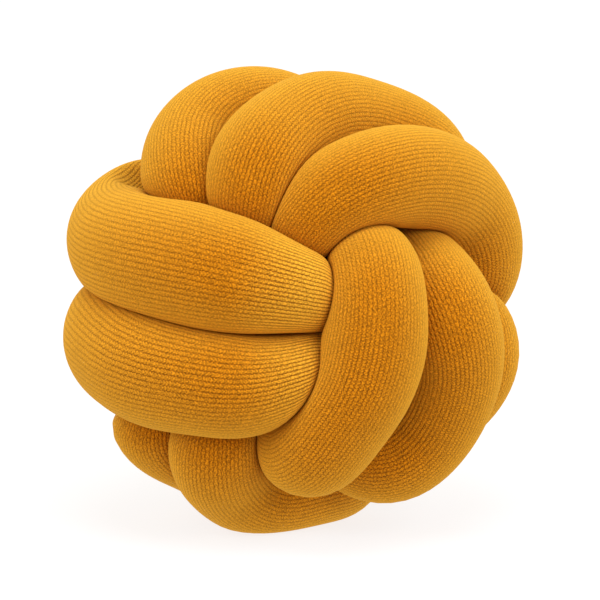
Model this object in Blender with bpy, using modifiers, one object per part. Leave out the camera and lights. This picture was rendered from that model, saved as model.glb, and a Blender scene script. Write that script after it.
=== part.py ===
"""Knot cushion: one long stuffed tube tied into a ball of three crossing bands.

The tube is laid along a smooth route through the stations in PASSES, given a
round section at each, and closed over the packed middle of the ball.
"""
import bpy
import bmesh
import numpy as np
from mathutils import Vector

MM = 0.001
STATION_STEP = 4.0 * MM      # spacing of the points laid along the route
CHORD_POWER = 0.75           # how far the route leans out between stations
SECTION_SEGMENTS = 6         # bevel resolution of the round tube
CORE_RADIUS = 87.0 * MM      # the packed middle, under the crossing bands
SKIN_VOXEL = 3.2 * MM        # grid of the closed skin
CREASE_SMOOTHING = 3         # passes that round the creases between turns
FACES_WANTED = 9400          # triangles of the finished solid
LEAN_DEGREES = 12.0          # how far the resting ball lies back
BALL_CENTRE = (0.7 * MM, -0.9 * MM, 146.0 * MM)  # its place over the origin
FABRIC_COLOUR = (0.72, 0.31, 0.025, 1.0)

# Stations of the tube in order, from its hidden start to its hidden end.
# across (+X), away (+Y) and up (+Z) from the centre of the ball before it
# leans back, then the tube's radius there, all in millimetres.
COLUMNS = ("across", "away", "up", "radius")
PASSES = [
    ("start under the top band", [
        (50, 14, 22, 20),
    ]),
    ("right band, far turn", [
        (76, 20, 10, 23), (101, 16, -7, 29), (114, 9, -33, 31),
        (93, 18, -67, 30),
    ]),
    ("under the bottom", [
        (66, 14, -76, 27), (32, 14, -66, 25), (-6, 26, -60, 25),
    ]),
    ("over the back left", [
        (-36, 60, -58, 28), (-38, 96, -28, 30), (-24, 112, 12, 31),
        (-10, 99, 46, 29),
    ]),
    ("under the top", [
        (8, 62, 59, 26), (32, 34, 57, 25), (52, 12, 46, 25),
        (68, -10, 33, 26),
    ]),
    ("right band, middle turn", [
        (86, -45, 12, 30), (97, -65, -9, 32), (102, -57, -34, 32),
        (95, -40, -63, 32), (82, -29, -84, 32), (63, -25, -98, 32),
        (43, -21, -96, 31),
    ]),
    ("under the bottom, second turn", [
        (18, -10, -80, 26), (-8, 0, -64, 25), (-36, 20, -60, 25),
    ]),
    ("over the back left, second turn", [
        (-62, 56, -58, 28), (-80, 80, -20, 31), (-73, 92, 20, 31),
        (-52, 85, 55, 28),
    ]),
    ("under the top, second turn", [
        (-28, 49, 66, 25), (0, 9, 62, 25), (20, -23, 51, 25),
    ]),
    ("right band, near turn", [
        (36, -55, 33, 27), (49, -92, 17, 31), (52, -105, -3, 32),
        (50, -104, -28, 34), (43, -100, -53, 33), (28, -90, -77, 32),
        (10, -72, -95, 31),
    ]),
    ("turn up behind the left band", [
        (-3, -50, -83, 28), (-5, -46, -52, 25), (-8, -50, -13, 25),
        (-5, -62, 21, 25),
    ]),
    ("top band, near turn", [
        (5, -80, 43, 27), (22, -88, 63, 30), (43, -82, 74, 32),
        (67, -62, 79, 33), (88, -34, 76, 33), (104, -2, 65, 32),
        (115, 22, 41, 32),
    ]),
    ("down the back", [
        (110, 39, 13, 31), (84, 55, -3, 27), (50, 50, -20, 24),
        (38, 46, -48, 25), (35, 49, -74, 27),
    ]),
    ("bottom band, near turn", [
        (30, 38, -105, 31), (7, 14, -116, 32), (-22, -3, -121, 32),
        (-43, -26, -110, 32), (-50, -53, -90, 31),
    ]),
    ("up behind the left band", [
        (-46, -50, -60, 26), (-39, -46, -18, 25), (-35, -54, 16, 25),
    ]),
    ("top band, middle turn", [
        (-30, -72, 53, 28), (-25, -77, 81, 32), (-9, -57, 103, 32),
        (17, -27, 115, 32), (45, 3, 111, 32), (79, 33, 93, 32),
    ]),
    ("down the back, second turn", [
        (86, 60, 58, 30), (70, 58, 24, 26), (40, 44, 0, 25),
        (20, 42, -34, 25), (7, 50, -70, 27),
    ]),
    ("bottom band, far turn", [
        (-12, 60, -106, 31), (-36, 43, -110, 31), (-55, 24, -99, 31),
        (-70, 4, -91, 31), (-89, -26, -72, 30),
    ]),
    ("up behind the left band, far turn", [
        (-73, -28, -44, 26), (-56, -28, -10, 25), (-54, -38, 22, 25),
    ]),
    ("top band, far turn", [
        (-63, -56, 52, 28), (-67, -51, 73, 31), (-64, -27, 97, 32),
        (-47, -5, 114, 32), (-21, 17, 119, 32), (8, 47, 108, 32),
        (34, 73, 87, 32),
    ]),
    ("curl under the right band", [
        (42, 89, 56, 31), (32, 86, 30, 28), (8, 64, 22, 25),
        (-22, 48, 30, 25), (-56, 50, 52, 25),
    ]),
    ("left band, upper turn", [
        (-83, 50, 64, 27), (-101, 29, 60, 30), (-112, 2, 47, 33),
        (-108, -30, 35, 38), (-91, -64, 27, 41), (-61, -93, 20, 41),
        (-30, -107, 13, 37), (-2, -104, 7, 29),
    ]),
    ("behind the right band", [
        (20, -82, 2, 24), (46, -46, 2, 23), (64, -6, 2, 23),
    ]),
    ("over the back", [
        (80, 38, -16, 25), (90, 72, -20, 29), (70, 99, -10, 31),
        (36, 111, 6, 30),
    ]),
    ("behind the back left", [
        (4, 80, 0, 26), (-25, 56, -8, 24), (-56, 38, -18, 26),
    ]),
    ("left band, lower turn", [
        (-90, 27, -18, 36), (-104, -9, -22, 45), (-98, -44, -32, 44),
        (-84, -71, -42, 41), (-57, -89, -49, 38), (-28, -96, -52, 35),
        (-6, -95, -48, 28),
    ]),
    ("behind the right band, lower turn", [
        (19, -80, -40, 23), (46, -48, -35, 23), (62, -5, -36, 23),
    ]),
    ("over the back, lower turn", [
        (70, 32, -42, 25), (80, 66, -52, 29), (57, 92, -50, 30),
        (22, 98, -46, 29),
    ]),
    ("end inside the ball", [
        (-8, 72, -42, 25), (-28, 44, -28, 22),
    ]),
]


def clear_scene():
    for thing in list(bpy.data.objects):
        bpy.data.objects.remove(thing, do_unlink=True)


def stations():
    """Rows in metres about the ball's centre, leaned back as the ball rests."""
    rows = np.array([row for _, turn in PASSES for row in turn], dtype=float) * MM
    lean = np.radians(LEAN_DEGREES)
    away, up = rows[:, 1].copy(), rows[:, 2].copy()
    rows[:, 1] = away * np.cos(lean) + up * np.sin(lean)
    rows[:, 2] = up * np.cos(lean) - away * np.sin(lean)
    return rows


def smooth_route(rows, step):
    """Natural cubic curve through the stations, sampled at an even step."""
    count = len(rows)
    chord = np.linalg.norm(np.diff(rows[:, :3], axis=0), axis=1) ** CHORD_POWER
    knots = np.concatenate([[0.0], np.cumsum(chord)])
    gap = np.diff(knots)
    matrix = np.zeros((count, count))
    right = np.zeros((count, rows.shape[1]))
    matrix[0, 0] = matrix[-1, -1] = 1.0
    for i in range(1, count - 1):
        matrix[i, i - 1] = gap[i - 1]
        matrix[i, i] = 2.0 * (gap[i - 1] + gap[i])
        matrix[i, i + 1] = gap[i]
        right[i] = 6.0 * ((rows[i + 1] - rows[i]) / gap[i]
                          - (rows[i] - rows[i - 1]) / gap[i - 1])
    bend = np.linalg.solve(matrix, right)

    def at(where):
        i = np.clip(np.searchsorted(knots, where, side="right") - 1, 0, count - 2)
        b = ((where - knots[i]) / gap[i])[:, None]
        a = 1.0 - b
        span = (gap[i] ** 2)[:, None] / 6.0
        return (a * rows[i] + b * rows[i + 1]
                + span * ((a ** 3 - a) * bend[i] + (b ** 3 - b) * bend[i + 1]))

    fine = np.linspace(0.0, knots[-1], 40 * count)
    path = at(fine)
    run = np.linalg.norm(np.diff(path[:, :3], axis=0), axis=1)
    along = np.concatenate([[0.0], np.cumsum(run)])
    even = np.linspace(0.0, along[-1], int(along[-1] / step) + 1)
    return at(np.interp(even, along, fine))


def fabric():
    material = bpy.data.materials.new("fabric")
    material.use_nodes = True
    shader = material.node_tree.nodes["Principled BSDF"]
    shader.inputs["Base Color"].default_value = FABRIC_COLOUR
    shader.inputs["Roughness"].default_value = 0.95
    shader.inputs["Metallic"].default_value = 0.0
    return material


def tube_curve(path, home):
    data = bpy.data.curves.new("tube_route", "CURVE")
    data.dimensions = "3D"
    data.bevel_depth = 1.0
    data.bevel_resolution = SECTION_SEGMENTS
    data.use_fill_caps = True
    spline = data.splines.new("POLY")
    spline.points.add(len(path) - 1)
    for point, row in zip(spline.points, path):
        place = Vector(row[:3]) + Vector(BALL_CENTRE)
        point.co = (*place, 1.0)
        point.radius = row[3]
    tube = bpy.data.objects.new("tube_route", data)
    home.objects.link(tube)
    return tube


def as_mesh(thing, name, home):
    graph = bpy.context.evaluated_depsgraph_get()
    mesh = bpy.data.meshes.new_from_object(thing.evaluated_get(graph))
    mesh.name = name
    solid = bpy.data.objects.new(name, mesh)
    solid.matrix_world = thing.matrix_world
    home.objects.link(solid)
    bpy.data.objects.remove(thing, do_unlink=True)
    return solid


def keep_outer_skin(mesh):
    """Drop the small shells that the closed skin leaves round inner gaps."""
    work = bmesh.new()
    work.from_mesh(mesh)
    work.faces.ensure_lookup_table()
    unseen = set(work.faces)
    shells = []
    while unseen:
        seed = unseen.pop()
        shell = [seed]
        front = [seed]
        while front:
            face = front.pop()
            for edge in face.edges:
                for other in edge.link_faces:
                    if other in unseen:
                        unseen.remove(other)
                        shell.append(other)
                        front.append(other)
        shells.append(shell)
    shells.sort(key=len)
    for shell in shells[:-1]:
        bmesh.ops.delete(work, geom=shell, context="FACES")
    loose = [v for v in work.verts if not v.link_faces]
    bmesh.ops.delete(work, geom=loose, context="VERTS")
    work.to_mesh(mesh)
    work.free()


def apply_modifier(thing, name):
    bpy.context.view_layer.objects.active = thing
    thing.select_set(True)
    bpy.ops.object.modifier_apply(modifier=name)


def flatten_rest(mesh):
    """Small flat spot where the filled tube presses on the surface."""
    work = bmesh.new()
    work.from_mesh(mesh)
    everything = work.verts[:] + work.edges[:] + work.faces[:]
    bmesh.ops.bisect_plane(work, geom=everything, dist=0.00001, plane_co=(0, 0, 0),
                           plane_no=(0, 0, -1), clear_outer=True)
    rim = [edge for edge in work.edges if len(edge.link_faces) == 1]
    spot = bmesh.ops.holes_fill(work, edges=rim, sides=0)
    bmesh.ops.triangulate(work, faces=spot["faces"])
    bmesh.ops.recalc_face_normals(work, faces=work.faces)
    work.to_mesh(mesh)
    work.free()


clear_scene()
cushion = bpy.data.collections.new("knot_cushion")
bpy.context.scene.collection.children.link(cushion)

route = smooth_route(stations(), STATION_STEP)
knot = as_mesh(tube_curve(route, cushion), "knot", cushion)

work = bmesh.new()
work.from_mesh(knot.data)
bmesh.ops.remove_doubles(work, verts=work.verts, dist=0.00001)
core = bmesh.ops.create_icosphere(work, subdivisions=4, radius=CORE_RADIUS)
bmesh.ops.translate(work, verts=core["verts"], vec=BALL_CENTRE)
work.to_mesh(knot.data)
work.free()

skin = knot.modifiers.new("skin", "REMESH")
skin.mode = "VOXEL"
skin.voxel_size = SKIN_VOXEL
apply_modifier(knot, "skin")
keep_outer_skin(knot.data)

ease = knot.modifiers.new("ease", "SMOOTH")
ease.factor = 0.5
ease.iterations = CREASE_SMOOTHING
apply_modifier(knot, "ease")

thin = knot.modifiers.new("thin", "DECIMATE")
thin.ratio = FACES_WANTED / sum(len(f.vertices) - 2 for f in knot.data.polygons)
thin.use_collapse_triangulate = True
apply_modifier(knot, "thin")
flatten_rest(knot.data)

knot.data.materials.clear()
knot.data.materials.append(fabric())
knot.data.shade_smooth()
print("knot triangles", len(knot.data.polygons))
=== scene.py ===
import bpy
import numpy as np
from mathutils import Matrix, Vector


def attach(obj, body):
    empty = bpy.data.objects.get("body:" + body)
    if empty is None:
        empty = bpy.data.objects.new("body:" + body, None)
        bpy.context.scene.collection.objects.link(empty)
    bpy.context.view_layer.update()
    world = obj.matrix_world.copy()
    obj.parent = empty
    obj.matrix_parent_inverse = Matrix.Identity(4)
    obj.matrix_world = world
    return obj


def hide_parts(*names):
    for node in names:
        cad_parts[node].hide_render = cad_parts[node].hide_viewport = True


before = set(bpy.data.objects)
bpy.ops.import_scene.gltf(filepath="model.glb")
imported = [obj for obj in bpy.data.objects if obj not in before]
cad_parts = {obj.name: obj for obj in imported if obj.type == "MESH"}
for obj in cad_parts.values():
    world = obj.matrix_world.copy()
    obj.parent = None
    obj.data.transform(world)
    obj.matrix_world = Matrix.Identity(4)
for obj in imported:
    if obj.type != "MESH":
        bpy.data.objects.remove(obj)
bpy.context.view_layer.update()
print("frame loaded, nodes:", sorted(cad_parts))

mm = 0.001

# The tube's route and how it is pressed, all lengths in millimetres.
tube = {
    "ballCentre": (0.7, -0.9, 146.0),
    "leanDegrees": 12.0,     # the ball lies back this much at rest
    "chordPower": 0.75,      # how far the route leans out between stations
    "finePieces": 40,        # between two stations, to measure the route
    "ringStep": 4.0,
    "ringPoints": 80,
    "ownBend": 2.6,          # radii along the tube that never press on each other
    "reach": 1.12,           # turns press on each other within this many radii
    "unpressed": 1e6,        # stands for no limit
    "least": 1e-6,           # least share of a direction that counts as facing
    "leastDown": 1e-3,
    "softness": 2.4,         # a pressed face turns round over this length
    "restSoftness": 6.0,
    "flattest": 0.25,        # least radius where pressed, as a share
    "easing": 2,             # passes that even out the pressed faces
    "capRings": 6,
    "poleChart": 2.0,        # length of chart that each closed end takes
    "gatherWithin": 55.0,    # the knit gathers where the tube narrows over this length
    "gatherFrom": 4.0,       # by this much or more
    "gatherFull": 13.0,
    "fill": 0.85,
}

# across (+X), away (+Y), up (+Z) from the ball's centre, then the tube's radius.
turns = [
    ("start under the top band", [
        (50, 14, 22, 20),
    ]),
    ("right band, far turn", [
        (76, 20, 10, 23), (101, 16, -7, 29), (114, 9, -33, 31),
        (93, 18, -67, 30),
    ]),
    ("under the bottom", [
        (66, 14, -76, 27), (32, 14, -66, 25), (-6, 26, -60, 25),
    ]),
    ("over the back left", [
        (-36, 60, -58, 28), (-38, 96, -28, 30), (-24, 112, 12, 31),
        (-10, 99, 46, 29),
    ]),
    ("under the top", [
        (8, 62, 59, 26), (32, 34, 57, 25), (52, 12, 46, 25),
        (68, -10, 33, 26),
    ]),
    ("right band, middle turn", [
        (86, -45, 12, 30), (97, -65, -9, 32), (102, -57, -34, 32),
        (95, -40, -63, 32), (82, -29, -84, 32), (63, -25, -98, 32),
        (43, -21, -96, 31),
    ]),
    ("under the bottom, second turn", [
        (18, -10, -80, 26), (-8, 0, -64, 25), (-36, 20, -60, 25),
    ]),
    ("over the back left, second turn", [
        (-62, 56, -58, 28), (-80, 80, -20, 31), (-73, 92, 20, 31),
        (-52, 85, 55, 28),
    ]),
    ("under the top, second turn", [
        (-28, 49, 66, 25), (0, 9, 62, 25), (20, -23, 51, 25),
    ]),
    ("right band, near turn", [
        (36, -55, 33, 27), (49, -92, 17, 31), (52, -105, -3, 32),
        (50, -104, -28, 34), (43, -100, -53, 33), (28, -90, -77, 32),
        (10, -72, -95, 31),
    ]),
    ("turn up behind the left band", [
        (-3, -50, -83, 28), (-5, -46, -52, 25), (-8, -50, -13, 25),
        (-5, -62, 21, 25),
    ]),
    ("top band, near turn", [
        (5, -80, 43, 27), (22, -88, 63, 30), (43, -82, 74, 32),
        (67, -62, 79, 33), (88, -34, 76, 33), (104, -2, 65, 32),
        (115, 22, 41, 32),
    ]),
    ("down the back", [
        (110, 39, 13, 31), (84, 55, -3, 27), (50, 50, -20, 24),
        (38, 46, -48, 25), (35, 49, -74, 27),
    ]),
    ("bottom band, near turn", [
        (30, 38, -105, 31), (7, 14, -116, 32), (-22, -3, -121, 32),
        (-43, -26, -110, 32), (-50, -53, -90, 31),
    ]),
    ("up behind the left band", [
        (-46, -50, -60, 26), (-39, -46, -18, 25), (-35, -54, 16, 25),
    ]),
    ("top band, middle turn", [
        (-30, -72, 53, 28), (-25, -77, 81, 32), (-9, -57, 103, 32),
        (17, -27, 115, 32), (45, 3, 111, 32), (79, 33, 93, 32),
    ]),
    ("down the back, second turn", [
        (86, 60, 58, 30), (70, 58, 24, 26), (40, 44, 0, 25),
        (20, 42, -34, 25), (7, 50, -70, 27),
    ]),
    ("bottom band, far turn", [
        (-12, 60, -106, 31), (-36, 43, -110, 31), (-55, 24, -99, 31),
        (-70, 4, -91, 31), (-89, -26, -72, 30),
    ]),
    ("up behind the left band, far turn", [
        (-73, -28, -44, 26), (-56, -28, -10, 25), (-54, -38, 22, 25),
    ]),
    ("top band, far turn", [
        (-63, -56, 52, 28), (-67, -51, 73, 31), (-64, -27, 97, 32),
        (-47, -5, 114, 32), (-21, 17, 119, 32), (8, 47, 108, 32),
        (34, 73, 87, 32),
    ]),
    ("curl under the right band", [
        (42, 89, 56, 31), (32, 86, 30, 28), (8, 64, 22, 25),
        (-22, 48, 30, 25), (-56, 50, 52, 25),
    ]),
    ("left band, upper turn", [
        (-83, 50, 64, 27), (-101, 29, 60, 30), (-112, 2, 47, 33),
        (-108, -30, 35, 38), (-91, -64, 27, 41), (-61, -93, 20, 41),
        (-30, -107, 13, 37), (-2, -104, 7, 29),
    ]),
    ("behind the right band", [
        (20, -82, 2, 24), (46, -46, 2, 23), (64, -6, 2, 23),
    ]),
    ("over the back", [
        (80, 38, -16, 25), (90, 72, -20, 29), (70, 99, -10, 31),
        (36, 111, 6, 30),
    ]),
    ("behind the back left", [
        (4, 80, 0, 26), (-25, 56, -8, 24), (-56, 38, -18, 26),
    ]),
    ("left band, lower turn", [
        (-90, 27, -18, 36), (-104, -9, -22, 45), (-98, -44, -32, 44),
        (-84, -71, -42, 41), (-57, -89, -49, 38), (-28, -96, -52, 35),
        (-6, -95, -48, 28),
    ]),
    ("behind the right band, lower turn", [
        (19, -80, -40, 23), (46, -48, -35, 23), (62, -5, -36, 23),
    ]),
    ("over the back, lower turn", [
        (70, 32, -42, 25), (80, 66, -52, 29), (57, 92, -50, 30),
        (22, 98, -46, 29),
    ]),
    ("end inside the ball", [
        (-8, 72, -42, 25), (-28, 44, -28, 22),
    ]),
]

# Where the tube folds at a tight bend: a place that presses it in, and its radius.
folds = [
    (-88, 4, 74, 30),
]

knit = {
    "ribs": 70,              # wales round the tube
    "course": 1.9 * mm,      # one row of stitches along the tube
    "swayScale": 75.0,       # long waves of the ribs and rows, per metre
    "shakeScale": 420.0,     # short ones
    "ribSway": 0.4,          # how far the ribs wander, in ribs
    "ribShake": 0.08,
    "rowSway": 2.0,          # how far the rows wander, in rows
    "rowShake": 0.5,
    "slant": 0.5,            # how far a stitch leans from crest to groove, in rows
    "stagger": 0.5,          # how far each rib's stitches lie past its neighbour's
    "roundness": 2.0,        # of a rib's and a stitch's section
    "grooveFloor": 0.45,     # depth of a groove at the middle of a stitch
    "grooveStitch": 0.6,     # and what the gap between two stitches adds
    "crestStitch": 0.3,      # depth of that gap on the crest
    "patchScale": 24.0,      # patches of flatter and deeper ribs, per metre
    "patchSpread": (0.38, 0.62),
    "patchDepth": (0.75, 1.0),
    "toneSpread": (0.3, 0.7),
    "patchTone": (0.95, 1.05),
    "grainScale": 1150.0,    # single fibres, per metre
    "grainSpread": (0.36, 0.64),
    "grainTone": 0.36,
    "grainHeight": 0.3,
    "crest": (0.56, 0.192, 0.0035),
    # painted shade: the grooves and stitch gaps are darkened in the colour, where shade falls
    # between ribs
    "grooveShade": (0.145, 0.025, 0.0003),
    "grooveFrom": 0.1,       # shallower than this keeps the crest's colour; deeper grooves take the painted groove shade
    "grooveMost": 0.95,
    # painted sheen: the pale colour the nap shows toward the edges of what is seen
    "napSheen": (0.97, 0.52, 0.045),
    "coverAndSheen": 0.8,            # how much the nap hides the ribs at the edge of what is seen, and how strong the painted sheen is there
    "coverFrom": 0.05,
    "napHollow": 0.5,        # how much of the painted groove shade shows through the painted sheen
    "gatherShade": 0.25,     # darker painted groove shade and a painted highlight on the crests where the knit is gathered
    "gatherHighlight": 0.6,
    "relief": 0.9 * mm,
    "roughness": 0.9,
    "gloss": 0.1,
}

studio = {
    "floorSize": 40.0,
    "floorColour": (0.25, 0.25, 0.25),
    "floorRoughness": 0.9,
    "floorGlow": 0.8,        # a light table, so the shadows stay pale
    "skyStrength": 0.8,
    "skyColour": (1.0, 0.94, 0.84),
    "lampSize": 1.8,
    "lampAim": (0.0, 0.0, 0.15),
    "cameraLens": 600.0,
    "sensor": 36.0,
    "farEnd": 100.0,         # the camera sees this far
    "cameraLean": 12.0,      # degrees the view looks down
    "frameWidth": 0.387,     # metres across the picture at the ball's centre
    "centrePixel": (295.0, 300.0),
    "pixels": 600,
}

# Soft round lamps: place in metres, watts, colour.
lamps = [
    ("key", (0.0, -1.12, 2.92), 33.0, (0.88, 1.02, 1.2)),
    ("right", (1.84, -1.84, 1.65), 31.0, (0.95, 1.0, 1.1)),
    ("left", (-1.84, -1.84, 1.65), 19.0, (1.0, 1.0, 1.0)),
]


def leanedBack(stations):
    rows = np.array(stations, float)
    lean = np.radians(tube["leanDegrees"])
    away, up = rows[:, 1].copy(), rows[:, 2].copy()
    rows[:, 1] = away * np.cos(lean) + up * np.sin(lean)
    rows[:, 2] = up * np.cos(lean) - away * np.sin(lean)
    rows[:, :3] += tube["ballCentre"]
    return rows


def smoothRoute(rows, step):
    # natural cubic curve through the stations, sampled at an even step
    count = len(rows)
    chord = np.linalg.norm(np.diff(rows[:, :3], axis=0), axis=1) ** tube["chordPower"]
    knots = np.concatenate([[0.0], np.cumsum(chord)])
    gap = np.diff(knots)
    matrix = np.zeros((count, count))
    right = np.zeros((count, rows.shape[1]))
    matrix[0, 0] = matrix[-1, -1] = 1.0
    for i in range(1, count - 1):
        matrix[i, i - 1:i + 2] = gap[i - 1], 2.0 * (gap[i - 1] + gap[i]), gap[i]
        right[i] = 6.0 * ((rows[i + 1] - rows[i]) / gap[i]
                          - (rows[i] - rows[i - 1]) / gap[i - 1])
    bend = np.linalg.solve(matrix, right)

    def at(where):
        i = np.clip(np.searchsorted(knots, where, side="right") - 1, 0, count - 2)
        b = ((where - knots[i]) / gap[i])[:, None]
        a = 1.0 - b
        span = (gap[i] ** 2)[:, None] / 6.0
        return (a * rows[i] + b * rows[i + 1]
                + span * ((a ** 3 - a) * bend[i] + (b ** 3 - b) * bend[i + 1]))

    fine = np.linspace(0.0, knots[-1], tube["finePieces"] * count)
    path = at(fine)
    run = np.linalg.norm(np.diff(path[:, :3], axis=0), axis=1)
    along = np.concatenate([[0.0], np.cumsum(run)])
    even = np.linspace(0.0, along[-1], int(along[-1] / step) + 1)
    return at(np.interp(even, along, fine))


def turningFrames(centres):
    # side directions that follow the tube without twisting round it
    tangent = np.gradient(centres, axis=0)
    tangent /= np.linalg.norm(tangent, axis=1)[:, None]
    side = np.zeros_like(centres)
    start = np.array([0.3, 0.5, 0.8])    # any direction but the tube's own
    side[0] = start - tangent[0] * (start @ tangent[0])
    side[0] /= np.linalg.norm(side[0])
    for i in range(1, len(centres)):
        side[i] = side[i - 1] - tangent[i] * (side[i - 1] @ tangent[i])
        side[i] /= np.linalg.norm(side[i])
    return tangent, side, np.cross(tangent, side)


def softLeast(limit, own, softness):
    # the smaller of two lengths, rounded where they are nearly equal
    mix = np.clip(0.5 + 0.5 * (limit - own) / softness, 0.0, 1.0)
    return limit * (1.0 - mix) + own * mix - softness * mix * (1.0 - mix)


def planeAlong(plane, facing, least):
    # how far out a pressing plane lies, where the ring's direction faces it
    return np.where(facing > least, plane / np.maximum(facing, least), tube["unpressed"])


def pressedRings(centres, radii, side, across):
    # each ring is round except where it meets another turn or the surface below
    angle = np.arange(tube["ringPoints"]) / tube["ringPoints"] * 2.0 * np.pi
    out = (np.cos(angle)[None, :, None] * side[:, None, :]
           + np.sin(angle)[None, :, None] * across[:, None, :])
    number = np.arange(len(centres))
    reach = np.empty(out.shape[:2])
    for i in number:
        gap = centres - centres[i]
        far = np.linalg.norm(gap, axis=1)
        other = abs(number - i) * tube["ringStep"] > tube["ownBend"] * radii[i]
        near = other & (far < (radii[i] + radii) * tube["reach"])
        limit = np.full(tube["ringPoints"], tube["unpressed"])
        if near.any():
            facing = out[i] @ gap[near].T
            plane = (far[near] ** 2 - radii[near] ** 2 + radii[i] ** 2) / 2.0
            limit = planeAlong(plane, facing, tube["least"]).min(1)
        for pressing in leanedBack(folds):
            toward = pressing[:3] - centres[i]
            plane = (toward @ toward - pressing[3] ** 2 + radii[i] ** 2) / 2.0
            facing = out[i] @ toward
            if plane < radii[i] * np.linalg.norm(toward):
                limit = np.minimum(limit, planeAlong(plane, facing, tube["least"]))
        limit = np.maximum(limit, tube["flattest"] * radii[i])
        reach[i] = softLeast(limit, radii[i], tube["softness"])
        down = -out[i, :, 2]
        floor = planeAlong(centres[i, 2], down, tube["leastDown"])
        reach[i] = softLeast(floor, reach[i], tube["restSoftness"])
    for _ in range(tube["easing"]):
        reach = (np.roll(reach, 1, 1) + 2.0 * reach + np.roll(reach, -1, 1)) / 4.0
        reach[1:-1] = (reach[:-2] + 2.0 * reach[1:-1] + reach[2:]) / 4.0
    return reach, out


def gathered(radii):
    # 0 where the tube keeps its width, 1 where it is drawn in hard
    reach = int(tube["gatherWithin"] / tube["ringStep"])
    padded = np.pad(radii, reach, mode="edge")
    widest = np.array([padded[i:i + 2 * reach + 1].max() for i in range(len(radii))])
    share = (widest - radii - tube["gatherFrom"]) / (tube["gatherFull"] - tube["gatherFrom"])
    return np.clip(share, 0.0, 1.0)


def tubeMesh(name, centres, radii):
    tangent, side, across = turningFrames(centres)
    reach, out = pressedRings(centres, radii, side, across)
    rings = centres[:, None, :] + reach[:, :, None] * out
    along = np.arange(len(centres)) * tube["ringStep"]
    caps = np.arange(1, tube["capRings"]) / tube["capRings"] * np.pi / 2.0

    def cap(end, way):
        closing, place = [], []
        for turn in caps:
            shift = way * tangent[end] * radii[end] * np.sin(turn)
            drawnIn = reach[end][:, None] * np.cos(turn) * out[end]
            closing.append(centres[end] + shift + drawnIn)
            place.append(along[end] + way * radii[end] * np.sin(turn))
        pole = centres[end] + way * tangent[end] * radii[end]
        return closing, place, pole

    first, firstPlace, firstPole = cap(0, -1.0)
    last, lastPlace, lastPole = cap(-1, 1.0)
    rings = np.concatenate([np.array(first[::-1]), rings, np.array(last)])
    along = np.concatenate([firstPlace[::-1], along, lastPlace])
    rings[:, :, 2] = np.maximum(rings[:, :, 2], 0.0)

    count, points = rings.shape[:2]
    row, column = np.meshgrid(np.arange(count - 1), np.arange(points), indexing="ij")
    beside = (column + 1) % points
    quads = np.stack([row * points + column, row * points + beside,
                      (row + 1) * points + beside, (row + 1) * points + column], axis=-1)
    spot = np.stack([column, column + 1, column + 1, column], axis=-1) / points
    length = np.stack([along[row], along[row], along[row + 1], along[row + 1]], axis=-1)
    startPole, endPole = count * points, count * points + 1
    ring = np.arange(points)
    startFan = np.stack([np.full(points, startPole), (ring + 1) % points, ring], axis=-1)
    lastRow = (count - 1) * points
    endFan = np.stack([lastRow + ring, lastRow + (ring + 1) % points,
                       np.full(points, endPole)], axis=-1)
    corners = np.concatenate([rings.reshape(-1, 3), [firstPole, lastPole]]) * mm
    faces = quads.reshape(-1, 4).tolist() + startFan.tolist() + endFan.tolist()
    mesh = bpy.data.meshes.new(name)
    mesh.from_pydata(corners.tolist(), [], faces)
    chart = mesh.uv_layers.new(name="alongTube")
    fanSpot = np.stack([(ring + 0.5) / points, (ring + 1) / points, ring / points], axis=-1)
    endSpot = np.stack([ring / points, (ring + 1) / points, (ring + 0.5) / points], axis=-1)
    flatU = np.concatenate([spot.reshape(-1), fanSpot.reshape(-1), endSpot.reshape(-1)])
    fanV = np.tile([along[0] - tube["poleChart"], along[0], along[0]], points)
    endV = np.tile([along[-1], along[-1], along[-1] + tube["poleChart"]], points)
    flatV = np.concatenate([length.reshape(-1), fanV, endV]) * mm
    chart.data.foreach_set("uv", np.stack([flatU, flatV], axis=-1).reshape(-1))
    narrow = gathered(radii)
    narrow = np.repeat(np.pad(narrow, tube["capRings"] - 1, mode="edge"), points)
    gather = mesh.attributes.new("gather", "FLOAT", "POINT")
    gather.data.foreach_set("value", np.append(narrow, [narrow[0], narrow[-1]]))
    mesh.validate()
    mesh.shade_smooth()
    piece = bpy.data.objects.new(name, mesh)
    bpy.context.scene.collection.objects.link(piece)
    return piece


rows = smoothRoute(leanedBack([row for _, turn in turns for row in turn]),
                   tube["ringStep"])
knotCushion = tubeMesh("knotCushion", rows[:, :3], rows[:, 3])
print("tube laid, mm:", round(len(rows) * tube["ringStep"]),
      "faces:", len(knotCushion.data.polygons))


# Small helpers for materials: each adds one node and links what it is given.
def addNode(tree, kind, settings=(), values=()):
    node = tree.nodes.new(kind)
    for key, value in dict(settings).items():
        setattr(node, key, value)
    for key, value in dict(values).items():
        if isinstance(value, bpy.types.NodeSocket):
            tree.links.new(value, node.inputs[key])
        else:
            node.inputs[key].default_value = value
    return node


def maths(tree, operation, *values):
    node = addNode(tree, "ShaderNodeMath", {"operation": operation})
    for i, value in enumerate(values):
        if isinstance(value, bpy.types.NodeSocket):
            tree.links.new(value, node.inputs[i])
        else:
            node.inputs[i].default_value = value
    return node.outputs[0]


def ranged(tree, value, given, wanted):
    node = addNode(tree, "ShaderNodeMapRange",
                   values={"Value": value, "From Min": given[0], "From Max": given[1],
                           "To Min": wanted[0], "To Max": wanted[1]})
    return node.outputs["Result"]


def blendColours(tree, factor, first, second, mode="MIX"):
    node = addNode(tree, "ShaderNodeMix", {"data_type": "RGBA", "blend_type": mode})
    for slot, value in (("Factor_Float", factor), ("A_Color", first), ("B_Color", second)):
        socket = next(s for s in node.inputs if s.identifier == slot)
        if isinstance(value, bpy.types.NodeSocket):
            tree.links.new(value, socket)
        else:
            socket.default_value = value
    return next(s for s in node.outputs if s.identifier == "Result_Color")


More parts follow.
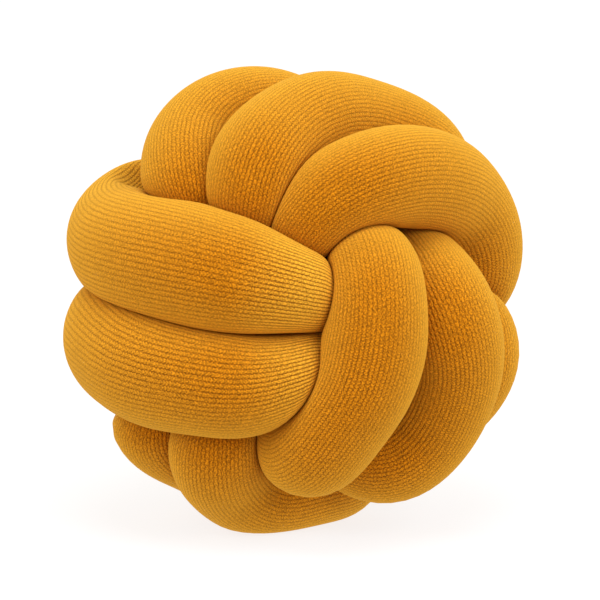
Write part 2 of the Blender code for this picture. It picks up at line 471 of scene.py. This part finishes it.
def ribKnitGroup():
    group = bpy.data.node_groups.new("ribKnit", "ShaderNodeTree")
    face = group.interface
    for name in ("Ribs", "Courses per metre", "Nap"):
        face.new_socket(name, in_out="INPUT", socket_type="NodeSocketFloat")
    for name in ("Chart", "Place"):
        face.new_socket(name, in_out="INPUT", socket_type="NodeSocketVector")
    for name in ("Height", "Hollow", "Rib", "Grain", "Patch"):
        face.new_socket(name, in_out="OUTPUT", socket_type="NodeSocketFloat")
    given = addNode(group, "NodeGroupInput")
    result = addNode(group, "NodeGroupOutput")

    def noise(scale, detail, roughness=0.5):
        node = addNode(group, "ShaderNodeTexNoise", {"noise_dimensions": "3D"},
                       {"Vector": given.outputs["Place"], "Scale": scale,
                        "Detail": detail, "Roughness": roughness})
        return node.outputs["Fac"]

    def rounded(cycle):
        # 1 in the middle of each cycle, 0 where one cycle meets the next
        off = maths(group, "MULTIPLY", maths(group, "ABSOLUTE", maths(
            group, "SUBTRACT", maths(group, "FRACT", cycle), 0.5)), 2.0)
        return off, maths(group, "SUBTRACT", 1.0,
                          maths(group, "POWER", off, knit["roundness"]))

    chart = addNode(group, "ShaderNodeSeparateXYZ", values={"Vector": given.outputs["Chart"]})
    sway = maths(group, "SUBTRACT", noise(knit["swayScale"], detail=2.0), 0.5)
    shake = maths(group, "SUBTRACT", noise(knit["shakeScale"], detail=1.0), 0.5)
    around = maths(group, "MULTIPLY", chart.outputs[0], given.outputs["Ribs"])
    around = maths(group, "MULTIPLY_ADD", sway, knit["ribSway"], around)
    around = maths(group, "MULTIPLY_ADD", shake, knit["ribShake"], around)
    off, crest = rounded(around)

    # stitches slant away from the rib's crest on both sides, like a row of small arrows
    rib = maths(group, "FLOOR", around)
    course = maths(group, "MULTIPLY", chart.outputs[1], given.outputs["Courses per metre"])
    for part, amount in ((off, "slant"), (rib, "stagger"), (sway, "rowSway"),
                         (shake, "rowShake")):
        course = maths(group, "MULTIPLY_ADD", part, knit[amount], course)
    stitchGap = maths(group, "SUBTRACT", 1.0, rounded(course)[1])

    patch = noise(knit["patchScale"], detail=3.0, roughness=0.55)
    ribbed = ranged(group, patch, knit["patchSpread"], knit["patchDepth"])
    ribGap = maths(group, "MULTIPLY", maths(group, "SUBTRACT", 1.0, crest), ribbed)
    inGap = maths(group, "MULTIPLY_ADD", stitchGap, knit["grooveStitch"], knit["grooveFloor"])
    onCrest = maths(group, "MULTIPLY", maths(group, "SUBTRACT", 1.0, ribGap),
                    knit["crestStitch"])
    hollow = maths(group, "ADD", maths(group, "MULTIPLY", ribGap, inGap),
                   maths(group, "MULTIPLY", onCrest, stitchGap))
    grain = noise(knit["grainScale"], detail=1.0)
    height = maths(group, "MULTIPLY_ADD", maths(group, "SUBTRACT", grain, 0.5),
                   given.outputs["Nap"], maths(group, "SUBTRACT", 1.0, hollow))
    for name, value in (("Height", height), ("Hollow", hollow), ("Rib", ribGap),
                        ("Grain", grain), ("Patch", patch)):
        group.links.new(value, result.inputs[name])
    return group


def knitMaterial(group):
    material = bpy.data.materials.new("mustardRibKnit")
    material.use_nodes = True
    tree = material.node_tree
    shader = tree.nodes["Principled BSDF"]
    chart = addNode(tree, "ShaderNodeUVMap", {"uv_map": "alongTube"})
    place = addNode(tree, "ShaderNodeTexCoord")
    ribs = addNode(tree, "ShaderNodeGroup", {"node_tree": group}, {
        "Ribs": float(knit["ribs"]), "Courses per metre": 1.0 / knit["course"],
        "Nap": knit["grainHeight"],
        "Chart": chart.outputs["UV"], "Place": place.outputs["Object"]})

    # seen along the surface, the nap covers the grooves and a painted sheen lightens the
    # colour
    along = addNode(tree, "ShaderNodeLayerWeight", values={"Blend": 0.5})
    coveredAndSheen = ranged(tree, along.outputs["Facing"], (knit["coverFrom"], 1.0),
                     (0.0, knit["coverAndSheen"]))
    bare = maths(tree, "SUBTRACT", 1.0, coveredAndSheen)

    # gathered ribs run on unbroken, with darker painted groove shade and a painted highlight
    # on their crests
    gather = addNode(tree, "ShaderNodeAttribute", {"attribute_name": "gather"}).outputs["Fac"]
    unbroken = maths(tree, "SUBTRACT", ribs.outputs["Rib"], ribs.outputs["Hollow"])
    hollow = maths(tree, "MULTIPLY_ADD", unbroken, gather, ribs.outputs["Hollow"])
    hollow = maths(tree, "MULTIPLY",
                   ranged(tree, hollow, (knit["grooveFrom"], 1.0), (0.0, knit["grooveMost"])),
                   maths(tree, "MULTIPLY_ADD", gather, knit["gatherShade"], 1.0))
    # painted highlight: the crest is blended toward the pale sheen colour where the knit is
    # gathered
    crest = blendColours(tree, maths(tree, "MULTIPLY", gather, knit["gatherHighlight"]),
                         knit["crest"] + (1.0,), knit["napSheen"] + (1.0,))
    # painted shade in the grooves and stitch gaps, on top of the bump's own shading
    colour = blendColours(tree, hollow, crest, knit["grooveShade"] + (1.0,))
    # the painted sheen colour, with some painted groove shade showing through
    napSheen = blendColours(tree, maths(tree, "MULTIPLY", hollow, knit["napHollow"]),
                       knit["napSheen"] + (1.0,), knit["grooveShade"] + (1.0,))
    colour = blendColours(tree, coveredAndSheen, colour, napSheen)
    grain = ranged(tree, ribs.outputs["Grain"], knit["grainSpread"],
                   (-knit["grainTone"], knit["grainTone"]))
    grain = maths(tree, "MULTIPLY_ADD", grain, bare, 1.0)
    patch = ranged(tree, ribs.outputs["Patch"], knit["toneSpread"], knit["patchTone"])
    tone = addNode(tree, "ShaderNodeHueSaturation", values={
        "Color": colour, "Value": maths(tree, "MULTIPLY", grain, patch)})
    tree.links.new(tone.outputs["Color"], shader.inputs["Base Color"])
    bump = addNode(tree, "ShaderNodeBump", values={
        "Height": maths(tree, "MULTIPLY", ribs.outputs["Height"], bare),
        "Distance": knit["relief"], "Strength": 1.0})
    tree.links.new(bump.outputs["Normal"], shader.inputs["Normal"])
    for name, value in (("Roughness", knit["roughness"]), ("Metallic", 0.0),
                        ("Specular IOR Level", knit["gloss"])):
        shader.inputs[name].default_value = value
    return material


knotCushion.data.materials.append(knitMaterial(ribKnitGroup()))
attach(knotCushion, "root")
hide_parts("knot")
print("fabric made")


def studioFloor():
    bpy.ops.object.select_all(action="DESELECT")
    bpy.ops.mesh.primitive_plane_add(size=studio["floorSize"], location=(0, 0, 0))
    floor = bpy.context.object
    floor.name = "studioFloor"
    material = bpy.data.materials.new("paleFloor")
    material.use_nodes = True
    shader = material.node_tree.nodes["Principled BSDF"]
    shader.inputs["Base Color"].default_value = studio["floorColour"] + (1.0,)
    shader.inputs["Roughness"].default_value = studio["floorRoughness"]
    shader.inputs["Specular IOR Level"].default_value = 0.0
    shader.inputs["Emission Color"].default_value = (1.0, 1.0, 1.0, 1.0)
    shader.inputs["Emission Strength"].default_value = studio["floorGlow"]
    floor.data.materials.append(material)
    floor.visible_diffuse = False    # its glow stays off the cushion
    floor.visible_glossy = False


def softLight(name, place, power, colour):
    data = bpy.data.lights.new(name, "AREA")
    data.shape = "DISK"
    data.size = studio["lampSize"]
    data.energy = power
    data.color = colour
    light = bpy.data.objects.new(name, data)
    light.location = place
    toward = Vector(studio["lampAim"]) - Vector(place)
    light.rotation_euler = toward.to_track_quat("-Z", "Y").to_euler()
    light.visible_camera = False
    bpy.context.scene.collection.objects.link(light)


def studioCamera():
    lean = np.radians(studio["cameraLean"])
    distance = studio["cameraLens"] / studio["sensor"] * studio["frameWidth"]
    centre = Vector(tube["ballCentre"]) * mm
    data = bpy.data.cameras.new("photoView")
    data.lens = studio["cameraLens"]
    data.sensor_width = studio["sensor"]
    data.clip_end = studio["farEnd"]
    half = studio["pixels"] / 2.0
    data.shift_x = (half - studio["centrePixel"][0]) / studio["pixels"]
    data.shift_y = (studio["centrePixel"][1] - half) / studio["pixels"]
    camera = bpy.data.objects.new("photoView", data)
    camera.location = centre + distance * Vector((0.0, -np.cos(lean), np.sin(lean)))
    camera.rotation_euler = (np.pi / 2.0 - lean, 0.0, 0.0)
    bpy.context.scene.collection.objects.link(camera)
    bpy.context.scene.camera = camera


def paleSky():
    world = bpy.data.worlds.new("paleStudio")
    world.use_nodes = True
    sky = world.node_tree.nodes["Background"]
    sky.inputs["Color"].default_value = studio["skyColour"] + (1.0,)
    sky.inputs["Strength"].default_value = studio["skyStrength"]
    bpy.context.scene.world = world


studioFloor()
for lamp in lamps:
    softLight(*lamp)
paleSky()
bpy.context.scene.view_settings.view_transform = "Standard"
studioCamera()
print("studio set")
